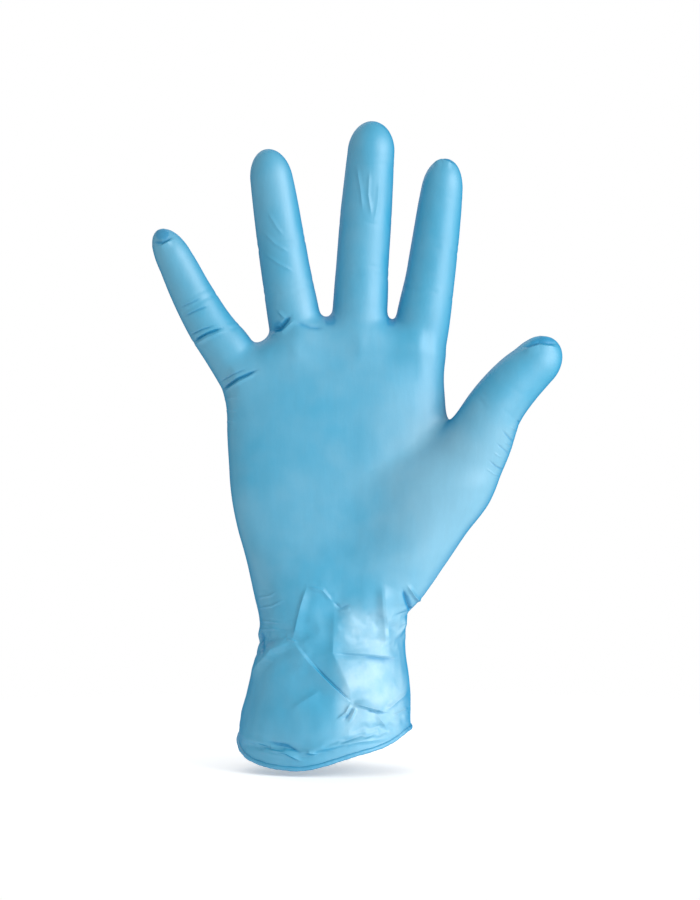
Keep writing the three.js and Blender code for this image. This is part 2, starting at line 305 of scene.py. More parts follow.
def torso_distance(p):
    """Distance to the palm, wrist and cuff, whose sections are squarer than an ellipse."""
    x, y, z = p.T
    left = smooth_profile(z, LEFT_AT, left_profile)
    right = smooth_profile(z, RIGHT_AT, right_profile)
    front = smooth_profile(z, FRONT_AT, front_profile)
    back = smooth_profile(z, BACK_AT, back_profile)
    c, a = (left + right) / 2, (right - left) / 2
    b = np.where(y < 0, front, back)
    e = 2.05 + 0.5 * smoothstep(52, 90, z)
    e = np.where(y < 0, e + 0.35 * smoothstep(60, 90, z), e)
    u = np.abs(x - c) / a + 1e-4
    v = np.abs(y) / b + 1e-4
    crest = np.interp(x, crown_x, crown_z)
    w = np.maximum(0, (z - crest + SHOULDER) / SHOULDER) + 1e-4
    r = (u**e + v**e + w**e) ** (1 / e)
    steep = np.sqrt((u ** (e - 1) / a) ** 2 + (v ** (e - 1) / b) ** 2 + (w ** (e - 1) / SHOULDER) ** 2)
    steep = steep * r ** (1 - e)
    return (r - 1) / np.maximum(steep, 5e-3)


# The thumb and the ball of muscle at its foot, from the thumb's own hinges and nodes.
thumb_spread = joint_at("thumb_spread")
thumb_bend = joint_at("thumb_knuckle_bend")
thumb_last = joint_at("thumb_tip_bend")
thumb_edges = cad_edges(*(f"thumb_{k}" for k in THUMB_PARTS))
thumb_lean = unit((thumb_last - thumb_bend) * [1, 0, 1])
thumb_end = ((thumb_edges.reshape(-1, 3) - thumb_spread) @ thumb_lean).max()
thumb_side = np.array([thumb_lean[2], 0, -thumb_lean[0]])
THUMB_SLIM = 0.94
THUMB_SHARES = (0.30, 0.55, 0.75)  # where the thumb's measured sections lie along it
THUMB_ROOT_CAP, THUMB_TIP_CAP = 4.0, 10.5
THUMB_BALL = (  # offsets from the thumb's spread hinge, half width, half depth
    ((-33, 8, -53), 5, 4), ((-25.9, 7, -41.6), 7.6, 8.0), ((-18.1, 5.4, -28.7), 11.1, 9.6),
    ((-10.5, 3.2, -15.4), 14.6, 10.4), ((-2.4, 0.8, -2.1), 12.7, 10.2),
)
centres = [thumb_spread + np.array(o) for o, _, _ in THUMB_BALL]
halves = [h for _, h, _ in THUMB_BALL]
depths = [d for _, _, d in THUMB_BALL]
for share in THUMB_SHARES:
    at = thumb_spread + thumb_lean * thumb_end * share
    centre, half, depth = section(thumb_edges, at, thumb_lean, thumb_side)
    centres.append(centre + thumb_side * (3.8 * share - 2.44))  # it bows outwards towards the tip
    halves.append(half * THUMB_SLIM)
    depths.append(depth)
centres.append(centres[-1] + thumb_lean * thumb_end * 0.25 + thumb_side * 2.3)
halves.append(halves[-1] * 0.93)
depths.append(depths[-1] * 0.9)
thumb_limb = Limb(centres, halves, depths, thumb_side, THUMB_ROOT_CAP, THUMB_TIP_CAP)

# Film stretched between the roots of neighbouring fingers.
UP = np.array([0, 0, 1.0])
WEB_BELOW = {("little", "ring"): 2.4, ("ring", "middle"): 0.6, ("middle", "index"): 2.0}
WEB_HALVES, WEB_DEPTHS, WEB_CAP = (6.5, 6.5, 6.5), (7.5, 6.5, 7.5), 3.0
web_limbs = []
for (p, q), below in WEB_BELOW.items():
    a, b = fingers[p].spread, fingers[q].spread
    sunk = np.array([0, -1.0, -below - WEB_HALVES[1]])
    path = [a + sunk, (a + b) / 2 + sunk, b + sunk]
    web_limbs.append(Limb(path, WEB_HALVES, WEB_DEPTHS, UP, WEB_CAP, WEB_CAP))

# Widths over which neighbouring shapes run together; BALL_MERGE adds to the thumb's on the palm side.
THUMB_MERGE, BALL_MERGE, WEB_MERGE, ROOT_MERGE = 7.5, 16.5, 3.2, 9.0


def hand_distance(p):
    """Distance to the whole hand, negative inside."""
    soften = smoothstep(2, -9, p[:, 1]) * smoothstep(122, 104, p[:, 2])
    palm = merge(torso_distance(p), thumb_limb.distance(p), THUMB_MERGE + BALL_MERGE * soften)
    d = np.full(len(p), FAR)
    for limb in web_limbs + [f.limb for f in fingers.values()]:
        d = merge(d, limb.distance(p), WEB_MERGE)
    return merge(palm, d, ROOT_MERGE)


def hand_gradient(p, d, h=0.05):
    return np.stack([(hand_distance(p + h * np.eye(3)[k]) - d) / h for k in range(3)], 1)


def onto_surface(p, steps=3):
    """Points moved on to the hand's surface."""
    for _ in range(steps):
        d = hand_distance(p)
        g = hand_gradient(p, d)
        size = (g * g).sum(1)
        p = p - g * np.clip(d / np.maximum(size, 0.2), -2, 2)[:, None]
    return p


GRID_BELOW = 14.0  # how far the grid reaches below the cuff, where the tube is still closed
GRID_FLOOR = 6.0  # faces this near the grid's bottom are left out
BAND = 4 * VOXEL  # distances are kept up to here
lo = np.array(cad_lo) / MM - BASE - [5, 5, GRID_BELOW]
hi = np.array(cad_hi) / MM - BASE + 5
counts = np.ceil((hi - lo) / VOXEL).astype(int)
axes = [lo[k] + VOXEL * np.arange(counts[k]) for k in range(3)]
field = np.empty(counts, np.float32)
yy, zz = np.meshgrid(axes[1], axes[2], indexing="ij")
for i, x in enumerate(axes[0]):
    layer = np.stack([np.full(yy.size, x), yy.ravel(), zz.ravel()], 1)
    field[i] = np.clip(hand_distance(layer), -BAND, BAND).reshape(yy.shape)
grid = openvdb.FloatGrid(background=BAND)
grid.copyFromArray(field)
verts, quads = grid.convertToQuads(isovalue=0)
verts = verts.astype(float) * VOXEL + lo


def keep_faces(verts, quads, wanted):
    """The mesh without the faces that aren't wanted, nor the vertices that they alone used."""
    quads = quads[wanted]
    used = np.unique(quads)
    renumber = np.full(len(verts), -1)
    renumber[used] = np.arange(len(used))
    return verts[used], renumber[quads]


verts, quads = keep_faces(verts, quads, verts[quads][:, :, 2].min(1) > lo[2] + GRID_FLOOR)
verts = onto_surface(verts)


def relax(verts, quads, rounds, amount):
    """Evens out the mesh: each vertex moves towards the mean of its neighbours."""
    edges = np.concatenate([quads[:, [k, (k + 1) % 4]] for k in range(4)])
    n = len(verts)
    for _ in range(rounds):
        total = np.zeros((n, 3))
        count = np.zeros(n)
        for a, b in ((0, 1), (1, 0)):
            for k in range(3):
                total[:, k] += np.bincount(edges[:, a], verts[edges[:, b], k], n)
            count += np.bincount(edges[:, a], minlength=n)
        verts = verts + amount * (total / np.maximum(count, 1)[:, None] - verts)
    return verts


verts = onto_surface(relax(verts, quads, 4, 0.5), 2)


def mesh_of(name, verts, faces):
    mesh = bpy.data.meshes.new(name)
    mesh.from_pydata([tuple(v) for v in verts.tolist()], [], [tuple(f) for f in faces.tolist()])
    return mesh


def placed(name, data):
    """A new object in the scene."""
    obj = bpy.data.objects.new(name, data)
    bpy.context.scene.collection.objects.link(obj)
    return obj


def evaluated(obj):
    """obj's mesh with its modifiers: positions of its vertices, and the vertex at each face corner."""
    mesh = obj.evaluated_get(bpy.context.evaluated_depsgraph_get()).to_mesh()
    co = np.empty(len(mesh.vertices) * 3)
    mesh.vertices.foreach_get("co", co)
    corners = np.empty(len(mesh.loops), np.int32)
    mesh.loops.foreach_get("vertex_index", corners)
    return co.reshape(-1, 3), corners


subdivider = placed("subdivider", mesh_of("subdivider", verts, quads))
subdivider.modifiers.new("finer", "SUBSURF").levels = 1
verts, corners = evaluated(subdivider)
quads = corners.reshape(-1, 4)
bpy.data.objects.remove(subdivider)
verts = onto_surface(verts, 2)


# ---------------- joints' zones and the cuts between them

rim = cad_edges("cuff_bead").reshape(-1, 3)
rim_centre = (rim.min(0) + rim.max(0)) / 2
rim_normal = np.linalg.svd(rim - rim.mean(0), full_matrices=False)[2][2]
rim_normal *= np.sign(rim_normal[2])

# Heights where the sleeve ends, where the wrist ends, and above which the palm no longer bends with it.
SLEEVE_TOP, WRIST_TOP, PALM_FIRM = 28.0, 46.0, 76.0
fold_axis = joint_axis("palm_fold")
fold_dir = np.array([-fold_axis[2], 0, fold_axis[0]])
fold_at = joint_at("palm_fold") * [1, 0, 1]
FOLD_START, FOLD_END = -12.0, 14.0
fold_start, fold_end = fold_at + FOLD_START * fold_dir, fold_at + FOLD_END * fold_dir
THUMB_LEAN = math.radians(40)
thumb_dir = np.array([math.sin(THUMB_LEAN), 0, math.cos(THUMB_LEAN)])
thumb_web = thumb_spread * [1, 0, 1] + [-11.2, 0, 3.4]
# Distances along each digit at which its zones begin, and the length of the zone that spreads.
THUMB_ZONES = (1.0, 9.5, 18.0, 30.0)
FINGER_ZONE_START = {"index": 2.0, "middle": 1.5, "ring": 2.5, "little": 2.0}
SPREAD_ZONE = {"index": 4.5, "middle": 4.5, "ring": 4.0, "little": 3.6}


class Digit:
    """The planes across one finger or the thumb, and the bodies that each zone joins."""

    def __init__(self, name, origin, along, limb, stops, parts, parent):
        self.name, self.origin, self.along, self.limb = name, origin, along, limb
        self.stops, self.parts = stops, parts
        self.bodies = [parent] + [f"{name}_{p}" for p in parts]

    def station(self, p):
        return (p - self.origin) @ self.along

    def point(self, s):
        return self.origin + s * self.along


digits = []
for name, f in fingers.items():
    b0 = FINGER_ZONE_START[name]
    b1 = b0 + SPREAD_ZONE[name]
    b2, b3 = (f.t[0] + f.t[1]) / 2, (f.t[1] + f.t[2]) / 2
    stops = (b0, b1, b2, b3, 2 * f.t[2] - b3)
    digits.append(Digit(name, f.origin, f.along, f.limb, stops, FINGER_PARTS, "knuckles"))
digits.append(Digit("thumb", thumb_web, thumb_dir, thumb_limb, THUMB_ZONES, THUMB_PARTS, "palm"))

# ---------------- the film, cut off at its rim

CUT_SNAP = 1e-4  # vertices this near a cut are taken to lie on it
film = bmesh.new()
source = mesh_of("film", verts, quads)
film.from_mesh(source)
bpy.data.meshes.remove(source)
everything = film.verts[:] + film.edges[:] + film.faces[:]
bmesh.ops.bisect_plane(film, geom=everything, dist=CUT_SNAP, plane_co=rim_centre, plane_no=rim_normal,
                       clear_inner=True)


def renumber_film():
    for elements in (film.verts, film.edges, film.faces):
        elements.index_update()


def of_film(key):
    """One property of each of the film's vertices: co or normal."""
    film.verts.ensure_lookup_table()
    return np.array([getattr(v, key) for v in film.verts])


def refine(region):
    """Halves the edges that lie in a region, for sharper folds."""
    inside = region(of_film("co"))
    edges = [e for e in film.edges if inside[e.verts[0].index] and inside[e.verts[1].index]]
    bmesh.ops.subdivide_edges(film, edges=edges, cuts=1, use_grid_fill=True)
    renumber_film()
    film.normal_update()


# ---------------- where the folds and creases lie

# Each fold: path in x and z on the palm side, height (a crease is negative), and the widths of its two
# flanks, left and right of the path's direction. Narrow flanks make a sharp fold, wide ones a flat facet.
FOLDS = (
    # the star of ridges on the cuff
    (((-14.8, 49.2), (-8.8, 41.9), (-3.6, 36.2), (1.6, 31), (7, 25.3)), 1, 1, 8),
    (((-7.4, 41.2), (-3, 36.5), (2.1, 31.5), (6.6, 26.4)), -0.65, 0.8, 0.7),
    (((7, 25.3), (12, 22.7), (18.7, 19.6)), 1.3, 6, 1.6),
    (((18.7, 19.6), (20.3, 21.7), (23.9, 25.8), (27.6, 29.5)), 0.8, 2, 2.4),
    (((-14.8, 49.2), (-21.8, 45.6), (-28, 37.8), (-30.1, 33.1)), 1.2, 2.8, 5),
    (((-14.8, 49.2), (-13.5, 52.9), (-11.4, 62.2), (-9.3, 69)), 0.8, 1.6, 3),
    (((-9.3, 69), (-3.6, 67.4), (0, 63.2)), 0.5, 1.2, 1.6),
    (((-17.2, 49.8), (-14.6, 49.4), (-12.6, 48.2)), 0.5, 0.8, 0.8),
    (((1.6, 60.1), (6.8, 60.6)), 0.5, 1.4, 1.4),
    (((0, 63.5), (3, 61), (6.5, 62.4)), -0.4, 1, 1.2),
    # the bright facet's edges, and the crease across it
    (((0.5, 62), (0, 44.5), (5.5, 32), (7, 25.5)), 2.3, 14, 11),
    (((0.3, 44.3), (12, 43.6), (24.4, 41.7)), -0.55, 0.8, 2.4),
    (((0.3, 45.2), (12, 44.5), (24.4, 42.6)), 0.4, 3, 0.7),
    # upright folds under the ball of the thumb
    (((17.7, 70), (18.1, 57), (18.9, 45)), 0.8, 4.6, 3),
    (((18.9, 70), (19.3, 57), (20.1, 45)), 0.7, 4.2, 3.4),
    (((25.5, 68), (27.6, 62), (29.5, 58)), -1, 1.3, 1.5),
    (((27, 69.5), (30, 65), (33, 62)), 0.9, 1.6, 1.3),
    (((26.4, 58), (27.2, 52), (27.6, 46)), 0.6, 1.4, 1.6),
    # gathers below the star
    (((6.3, 24.8), (4.7, 20.6), (1.6, 18)), 0.8, 1.8, 1.1),
    (((8.3, 22.7), (7.2, 19), (5.7, 15.4)), 0.8, 1.2, 1.8),
    (((7.6, 23.5), (6, 19.5), (4.2, 17.2)), -0.6, 0.8, 0.8),
    (((15.1, 19.1), (17.5, 15), (19.8, 11.3)), 0.6, 3, 1.6),
    (((11.5, 21.5), (15.5, 19.6), (20, 18.6)), -0.5, 0.9, 0.9),
    (((21, 17), (24.5, 18.6), (28, 21)), 0.45, 1.2, 1.8),
    (((-15, 24.3), (-4.1, 31.5)), 0.5, 2.4, 4),
    # folds by the bead
    (((-23.4, 9.7), (-16.6, 8.2), (-10.9, 5)), 1, 2, 1),
    (((-22.4, 11.6), (-16, 10.4), (-10.5, 7.6)), -0.45, 1, 0.9),
    (((-9.6, 8.4), (-7.6, 7.2), (-5.4, 6.6)), 0.9, 1.4, 1.2),
    (((-6.7, 7.6), (3, 7.9), (12, 7.8), (21, 8.6)), 0.45, 2.4, 1.2),
    (((-24, 12.5), (-15, 10.5)), -0.4, 1.2, 1),
    # fine wrinkles at the narrow side of the wrist
    (((-28, 55.3), (-23, 55.8), (-18.5, 55.3)), 0.4, 1, 0.8),
    (((-28, 52.2), (-22, 53.2), (-19, 53)), 0.3, 0.9, 0.9),
    (((-28, 60), (-22, 61.6), (-17.5, 64)), 0.4, 1, 0.8),
    (((-28, 64), (-23, 65.2), (-20, 67)), 0.3, 1, 0.9),
    (((-26.4, 52), (-26, 48), (-25.2, 43.5)), -0.9, 1.6, 1.3),
    # palm and fingers
    (((-41.5, 128), (-38, 129.2), (-35.5, 129)), 0.3, 1, 0.9),
    (((-41.5, 132.5), (-37.5, 133.2), (-35, 132.6)), 0.3, 1, 0.9),
    (((-41.5, 136.6), (-37, 137.8), (-33.5, 137.4)), 0.25, 1, 0.9),
    (((-41.5, 140.6), (-35, 144.6), (-27.5, 148)), -1, 0.8, 0.8),
    (((-41, 139.4), (-34.5, 143.5), (-28, 146.6)), 0.5, 0.7, 1.4),
    (((-42.5, 143.2), (-36.5, 146.4), (-31.5, 148.4)), -0.35, 0.7, 0.7),
    (((-52, 158.2), (-46.5, 161.2), (-40.5, 163.4)), -0.9, 0.8, 0.8),
    (((-51.8, 157), (-46, 160), (-40, 162.2)), 0.45, 0.7, 1.2),
    (((-53.2, 160.6), (-48, 162.8), (-43.5, 164.2)), -0.45, 0.7, 0.7),
    (((-55, 167.5), (-50.5, 169.6), (-46, 171.4)), -0.4, 0.8, 0.8),
    (((-56.5, 171), (-52, 172.6), (-48.5, 174.2)), -0.3, 0.8, 0.8),
    (((-23, 162.4), (-19.5, 163.4), (-15.4, 167.6)), -1.3, 1.4, 1.2),
    (((-23, 160.9), (-18.6, 161.9), (-14, 166.4)), 0.6, 0.9, 2),
    (((-20.5, 170), (-17.4, 166.6)), 0.4, 1.6, 1),
    (((-14, 165.6), (-8.5, 163.6), (-3, 163.2)), -0.35, 1.6, 1.8),
    (((-25.5, 191), (-20, 187), (-14.5, 184)), 0.25, 1.4, 1.2),
    (((-26, 199), (-21, 194), (-16, 191)), 0.25, 1.4, 1.2),
    (((-24, 206), (-20.5, 200), (-18, 197)), 0.2, 1.4, 1.2),
    (((8.8, 223), (10.2, 214), (11, 206)), 0.3, 1.3, 1.3),
    (((13.4, 221), (13, 212), (14.2, 204)), 0.3, 1.3, 1.3),
    (((17, 218), (16.4, 209), (15, 202)), 0.2, 1.3, 1.3),
    # film folded over at the ends of the little finger, index and thumb
    (((-66.8, 193.6), (-62.8, 193.4), (-58.8, 195.6)), 0.7, 0.9, 2.6),
    (((-66.6, 194.8), (-62.6, 194.6), (-58.6, 196.8)), -0.6, 1.6, 0.7),
    (((-66.2, 199), (-62.4, 199.8), (-59.2, 197.2)), 0.15, 0.8, 1.4),
    (((36.4, 223.6), (40, 225), (44.6, 223.2)), 0.8, 0.9, 3),
    (((36.6, 224.8), (40, 226.2), (44.6, 224.4)), -0.7, 0.9, 0.8),
    (((68.5, 154.4), (75, 156.4), (82.2, 155.8)), 0.7, 0.9, 2.6),
    (((68.6, 155.8), (75, 158), (82.2, 157.2)), -0.7, 1.1, 0.9),
    (((70, 158), (75, 160), (81, 159)), 0.4, 0.8, 0.8),
    # fine wrinkles at the side of the thumb
    (((67, 129.4), (69.8, 127.6)), -0.3, 0.6, 0.6),
    (((64.4, 127), (68.4, 125)), 0.22, 0.6, 0.8),
    (((61.5, 125.6), (64.4, 122.8), (67, 121)), -0.32, 0.7, 0.6),
    (((62.4, 121.6), (66, 118.8)), 0.25, 0.6, 0.7),
    (((59.4, 121), (62, 118.9), (65, 116.8)), -0.25, 0.6, 0.6),
    (((58.6, 117.6), (61.6, 115.4)), 0.2, 0.6, 0.6),
    (((56.6, 114.8), (59.6, 112.4), (63.2, 110.8)), -0.3, 0.7, 0.6),
    (((55.8, 111.8), (58.6, 109.8), (61.2, 108.8)), 0.2, 0.6, 0.7),
)

# Folds on the back, in the same form: over the knuckles and finger joints, at the wrist, and on the cuff.
BACK_FOLDS = (
    (((-34, 139), (-30.5, 142.5), (-27, 143)), -0.5, 1.2, 1),
    (((-33, 136.5), (-29, 139.5), (-25.5, 140)), 0.35, 1.2, 1.4),
    (((-19, 146.5), (-14.5, 149), (-9.5, 148.5)), -0.5, 1.2, 1),
    (((-18, 143.8), (-13, 146), (-9, 145.6)), 0.35, 1.2, 1.4),
    (((2, 149), (7, 150.5), (12.5, 149)), -0.5, 1.2, 1),
    (((3, 146), (8, 147.4), (12, 146.2)), 0.35, 1.2, 1.4),
    (((22.5, 147.5), (27.5, 147.8), (32.5, 145)), -0.5, 1.2, 1),
    (((22, 144.6), (27, 144.8), (31, 142.6)), 0.35, 1.2, 1.4),
    (((-25, 60), (-12, 66), (2, 64.5)), 0.6, 4, 1.6),
    (((-23, 56.5), (-10, 61), (5, 59)), -0.45, 1.2, 2.2),
    (((20, 70), (8, 62), (-6, 54)), 0.6, 1.6, 5),
    (((24, 58), (12, 52), (-2, 47)), 0.7, 5, 1.8),
    (((-26, 48), (-14, 44), (-4, 45.5)), 0.6, 1.8, 3.4),
    (((-20, 38), (-8, 33), (2, 26)), 0.9, 6, 2),
    (((22, 42), (12, 36), (6, 27)), 0.8, 2, 6),
    (((12, 28), (16, 33), (23, 35)), -0.5, 1.2, 1.4),
    (((-18, 27), (-12, 24.5), (-6, 26)), -0.5, 1.2, 1.4),
    (((38, 120), (42, 112), (44.5, 103)), 0.3, 3, 3),
)

# Where the film lies double at the fingertips it is deeper in colour, partly painted shade; in the hollows at
# the finger roots, the webs and under the thumb's ball, shade is painted in: path and reach.
DOUBLED_FILM_AND_SHADE = (
    (((-65.6, 197.4), (-62.6, 197.8), (-59.8, 197.2)), 3.4),
    (((38.2, 225.6), (41, 226.4), (44, 225)), 1.8),
    (((71, 156.8), (76, 158.6), (81.4, 158)), 1.8),
    (((-21.4, 162.8), (-18.4, 165.2)), 3.2),
    (((-3.4, 166.4), (1.6, 166.2)), 3.4),
    (((19.4, 166.2), (23.6, 166)), 3.4),
    (((26.2, 66), (28.6, 61)), 1.7),
)


def fold_height(x, z, path, height, left_width, right_width):
    """Height of one fold at points in x and z: a sharp crest that runs out at both ends."""
    path = np.array(path, float)
    reach = max(left_width, right_width) + 1
    lo, hi = path.min(0) - reach, path.max(0) + reach
    out = np.zeros(len(x))
    near = (x > lo[0]) & (x < hi[0]) & (z > lo[1]) & (z < hi[1])
    q = np.stack([x[near], z[near]], 1)
    best, signed, gone = np.full(len(q), FAR), np.zeros(len(q)), np.zeros(len(q))
    lengths = np.linalg.norm(np.diff(path, axis=0), axis=1)
    before = np.r_[0, np.cumsum(lengths)]
    for a, b, size, start in zip(path, path[1:], lengths, before):
        way = (b - a) / size
        t = np.clip((q - a) @ way, 0, size)
        off = q - a - t[:, None] * way
        d = np.linalg.norm(off, axis=1)
        closer = d < best
        best = np.where(closer, d, best)
        signed = np.where(closer, way[0] * off[:, 1] - way[1] * off[:, 0], signed)
        gone = np.where(closer, start + t, gone)
    width = np.where(signed > 0, left_width, right_width)
    fall = np.clip(1 - best / width, 0, 1)
    run_out = 0.22 * before[-1] + 0.5
    ends = smoothstep(0, run_out, gone) * smoothstep(0, run_out, before[-1] - gone)
    out[near] = height * fall**1.7 * (0.1 + 0.9 * ends)
    return out


def close_to_folds(reach, sharpest):
    """Whether points on the palm side lie within reach of a fold with a flank no wider than sharpest."""

    def test(p):
        near = np.zeros(len(p), bool)
        for path, _, left_width, right_width in FOLDS:
            if min(left_width, right_width) <= sharpest:
                near |= fold_height(p[:, 0], p[:, 2], path, 1.0, reach, reach) > 0
        return near & (p[:, 1] < 1)

    return test


refine(close_to_folds(reach=3.2, sharpest=4.0))
refine(close_to_folds(reach=1.3, sharpest=1.7))
co, normals = of_film("co"), of_film("normal")

# ---------------- loose film at the cuff, by cloth simulation

CLOTH_ROUND, CLOTH_RISE, CLOTH_TOP = 220, 60, 74.0
CLOTH_SCALE = 0.05
CLOTH_FRAMES = 26
CLOTH_CAP = 2.2  # the farthest that the film moves
NEAREST, FARTHEST, HALVINGS = 4.0, 60.0, 22
CLOTH_LOWEST_WAVE = 4  # swellings with fewer waves round the cuff are taken out, so that it keeps its size


def rim_height(x, y):
    """Height of the rim's plane."""
    across = (x - rim_centre[0]) * rim_normal[0] + (y - rim_centre[1]) * rim_normal[1]
    return rim_centre[2] - across / rim_normal[2]


def middle_x(z):
    """Halfway between the film's two sides."""
    return (smooth_profile(z, LEFT_AT, left_profile) + smooth_profile(z, RIGHT_AT, right_profile)) / 2


def tube_point(angle, z):
    """Where level rays from the middle of the cuff or wrist meet the film, found by halving."""
    middle = middle_x(z)
    near, far = np.full(len(angle), NEAREST), np.full(len(angle), FARTHEST)
    for _ in range(HALVINGS):
        r = (near + far) / 2
        inside = torso_distance(np.stack([middle + r * np.cos(angle), r * np.sin(angle), z], 1)) < 0
        near, far = np.where(inside, r, near), np.where(inside, far, r)
    return np.stack([middle + near * np.cos(angle), near * np.sin(angle), z], 1)


def simulated_cuff():
    """Displacement of the loose film, which is too big for the wrist and buckles, by height and angle."""
    angle = np.linspace(-math.pi, math.pi, CLOTH_ROUND, endpoint=False)
    low = np.full(CLOTH_ROUND, rim_centre[2])
    for _ in range(6):
        p = tube_point(angle, low)
        low = rim_height(p[:, 0], p[:, 1])
    rise = np.linspace(0, 1, CLOTH_RISE)[:, None]
    z = low + rise * (CLOTH_TOP - low)
    start = tube_point(np.tile(angle, CLOTH_RISE), z.ravel())
    index = np.arange(CLOTH_RISE * CLOTH_ROUND).reshape(CLOTH_RISE, CLOTH_ROUND)
    right = np.roll(index, -1, 1)
    faces = np.stack([index[:-1], right[:-1], right[1:], index[1:]], -1).reshape(-1, 4)
    obj = placed("cuff_cloth", mesh_of("cuff_cloth", start * CLOTH_SCALE, faces))
    pins = obj.vertex_groups.new(name="pins")
    pins.add(index[0].tolist() + index[-1].tolist(), 1.0, "REPLACE")
    cloth = obj.modifiers.new("cloth", "CLOTH")
    settings = cloth.settings
    settings.quality = 5
    settings.mass = 0.2
    settings.tension_stiffness = settings.compression_stiffness = 20
    settings.shear_stiffness = 8
    settings.bending_stiffness = 0.35
    settings.shrink_min = -0.055
    settings.vertex_group_mass = "pins"
    settings.use_pressure = True
    settings.uniform_pressure_force = 0.4
    settings.effector_weights.gravity = 0
    cloth.collision_settings.use_collision = False
    cloth.point_cache.frame_start = 1
    cloth.point_cache.frame_end = CLOTH_FRAMES
    for k in range(1, CLOTH_FRAMES + 1):
        bpy.context.scene.frame_set(k)
    settled, _ = evaluated(obj)
    bpy.context.scene.frame_set(1)
    bpy.data.objects.remove(obj)
    moved = (settled / CLOTH_SCALE - start).reshape(CLOTH_RISE, CLOTH_ROUND, 3)
    out = np.stack([np.cos(angle), np.sin(angle), 0 * angle], 1)
    waves = np.fft.rfft((moved * out).sum(2), axis=1)
    waves[:, CLOTH_LOWEST_WAVE:] = 0
    moved = (moved - np.fft.irfft(waves, CLOTH_ROUND, axis=1)[:, :, None] * out).reshape(-1, 3)
    size = np.linalg.norm(moved, axis=1)[:, None]
    moved *= np.minimum(1, CLOTH_CAP / np.maximum(size, 1e-6))
    return low, moved.reshape(CLOTH_RISE, CLOTH_ROUND, 3)


def apply_cuff(co, low, moved):
    """Moves the film's vertices with the simulated cuff."""
    turn = (np.arctan2(co[:, 1], co[:, 0] - middle_x(co[:, 2])) + math.pi) / (2 * math.pi) * CLOTH_ROUND
    i = np.floor(turn).astype(int)
    a = (turn - i)[:, None]
    i, i2 = i % CLOTH_ROUND, (i + 1) % CLOTH_ROUND
    bottom = low[i] * (1 - a[:, 0]) + low[i2] * a[:, 0]
    up = np.clip((co[:, 2] - bottom) / (CLOTH_TOP - bottom), 0, 1) * (CLOTH_RISE - 1)
    j = np.minimum(np.floor(up).astype(int), CLOTH_RISE - 2)
    b = (up - j)[:, None]
    shift = (moved[j, i] * (1 - a) * (1 - b) + moved[j, i2] * a * (1 - b)
             + moved[j + 1, i] * (1 - a) * b + moved[j + 1, i2] * a * b)
    fade = (1 - smoothstep(CLOTH_TOP - 16, CLOTH_TOP, co[:, 2])) * smoothstep(0, 9, co[:, 2] - bottom)
    return co + shift * fade[:, None]


co = apply_cuff(co, *simulated_cuff())

# ---------------- folds, puckers and ripples

def noise_at(points, scale, seed):
    return np.array([noise.noise(p) for p in (points * scale + seed).tolist()])


palm_side = smoothstep(-0.1, 0.35, -normals[:, 1])
back_side = smoothstep(0.05, 0.5, normals[:, 1])
MOST_SHADE = 0.5
SHADED_DEPTH = 0.9  # a crease this deep gets the full painted shade
lift = np.zeros(len(co))
for folds, facing in ((FOLDS, palm_side), (BACK_FOLDS, back_side)):
    for path, height, left_width, right_width in folds:
        lift += facing * fold_height(co[:, 0], co[:, 2], path, height, left_width, right_width)
# Painted shade: the colour is darkened in the creases, by their depth.
shade = np.clip(-lift / SHADED_DEPTH, 0, MOST_SHADE)
# Painted shade in the hollows at the finger roots, webs and under the thumb's ball, and the deeper colour of
# doubled film at the fingertips.
for path, reach in DOUBLED_FILM_AND_SHADE:
    doubled_and_shaded = fold_height(co[:, 0], co[:, 2], path, 1.0, reach, reach)
    shade = np.maximum(shade, np.where(normals[:, 1] < 0.2, np.minimum(1.3 * doubled_and_shaded, MOST_SHADE), 0))

# The film puckers a little across each finger's hinges, front and back.
for digit in digits:
    on = digit.limb.distance(co) < 3
    s = digit.station(co[on])
    across = np.zeros(on.sum())
    for k, hinge in enumerate(digit.stops[2:], 1):
        at = hinge - 4 + 1.2 * noise_at(co[on], 0.12, 7 + k)
        broken = smoothstep(-0.25, 0.25, noise_at(co[on], 0.16, 20 + k))
        weight = 0.35 if digit.parts[k] == "tip" else 1.0
        first = 0.16 * np.exp(-(((s - at) / 0.8) ** 2))
        second = 0.1 * np.exp(-(((s - at - 3.1) / 0.7) ** 2))
        across -= weight * broken * (first + second)
    lift[on] += across

# Slack film: long shallow ripples, strongest on the cuff and at the wrist.
slack = 0.10 + 0.35 * (1 - smoothstep(50, 80, co[:, 2]))
ripple = noise_at(co * [1, 1, 0.45], 0.085, 3.0) + 0.5 * noise_at(co * [1, 1, 0.6], 0.21, 9.0)
lift += slack * ripple
co = co + normals * lift[:, None]

# The rim climbs towards the thumb's side, most at the front.
climb = 1.0 * smoothstep(-32, -14, co[:, 0]) + 4.4 * smoothstep(-16, 12, co[:, 0])
co[:, 2] += climb * smoothstep(9, -14, co[:, 1]) * (1 - smoothstep(12, 34, co[:, 2]))
# The painted shade rides with each vertex through the cuts.
shade_layer = film.verts.layers.float.new("shade")
for v, p, dark in zip(film.verts, co.tolist(), shade.tolist()):
    v.co = p
    v[shade_layer] = dark


# ---------------- cutting the film into its zones

ON_LIMB = 4.0  # film this near a limb can belong to it
ROOT_REACH = 6.0  # a limb counts from this far below its first cut


def slice_film(at, normal, only=None):
    """Adds an edge loop where a plane crosses the film, on the faces near points where only(points) holds."""
    co = of_film("co")
    near = np.abs((co - at) @ normal) < 3 * VOXEL
    if only:
        near[near] = only(co[near])
    faces = {f for i in np.flatnonzero(near) for f in film.verts[i].link_faces}
    faces = sorted(faces, key=lambda f: f.index)
    edges = sorted({e for f in faces for e in f.edges}, key=lambda e: e.index)
    verts = sorted({v for f in faces for v in f.verts}, key=lambda v: v.index)
    bmesh.ops.bisect_plane(film, geom=verts + edges + faces, dist=CUT_SNAP, plane_co=at, plane_no=normal)
    renumber_film()


